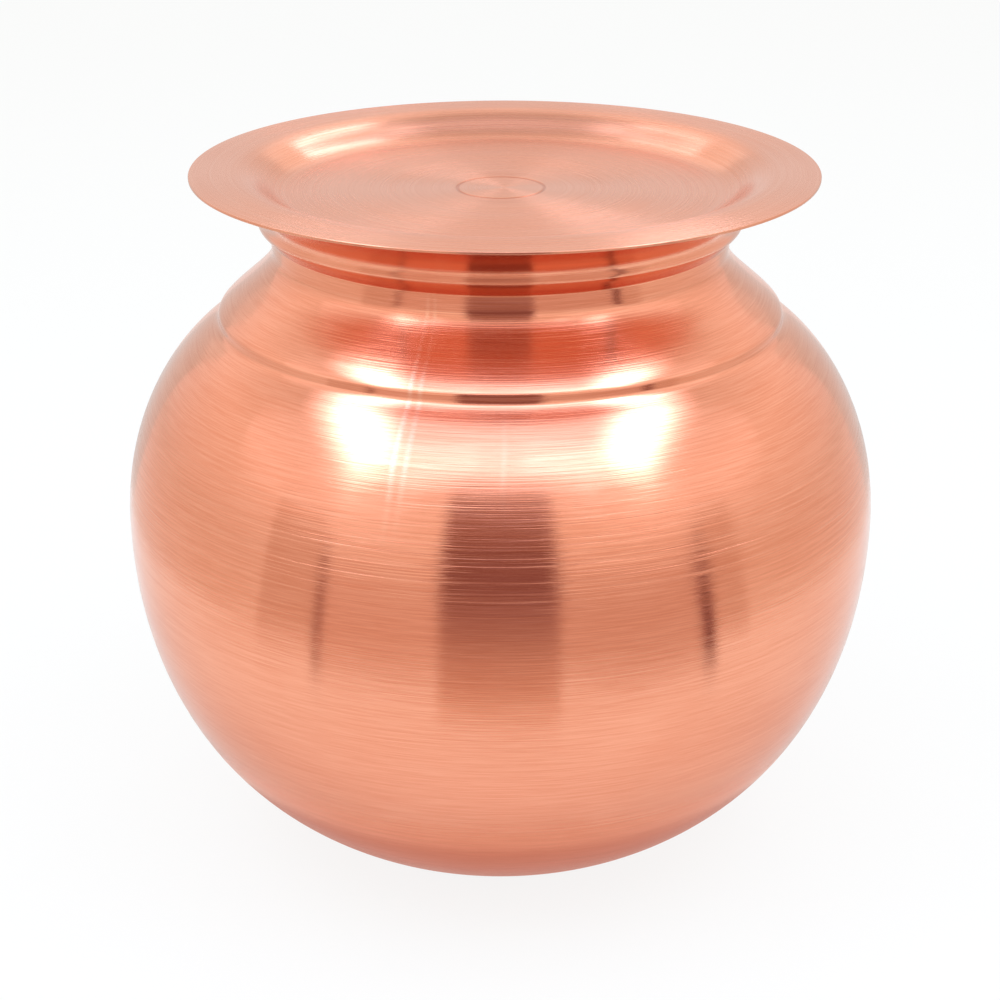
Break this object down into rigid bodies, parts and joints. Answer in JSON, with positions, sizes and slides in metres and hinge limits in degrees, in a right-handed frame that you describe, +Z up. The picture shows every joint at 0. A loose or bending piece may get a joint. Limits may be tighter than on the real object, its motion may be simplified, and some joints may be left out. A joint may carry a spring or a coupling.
{
  "type": "water pot with lid",
  "caption": "Round-bellied water pot spun from copper sheet, with a stepped shoulder, narrow neck, flared mouth and a loose dish-shaped lid.",
  "frame": {"origin": "middle of the flat foot, on the surface that the pot stands on", "axes": "+Z up along the pot's axis; the pot is round, and +X is the side towards which the loose lid lies 1.2 mm off the axis"},
  "size_m": [0.22, 0.22, 0.205],
  "materials": {
    "copper_pot": "lathe-brushed bare copper, fine rings round the pot, semi-gloss",
    "copper_lid": "lathe-brushed bare copper, fine rings round the lid, satin"
  },
  "bodies": {
    "pot": {"pot_body": "copper_pot"},
    "lid": {"lid": "copper_lid"}
  },
  "joints": [
    {"name": "lid_lift", "type": "slide", "parent": "pot", "child": "lid", "axis": [0, 0, 1], "range_m": [0, 0.06]}
  ]
}
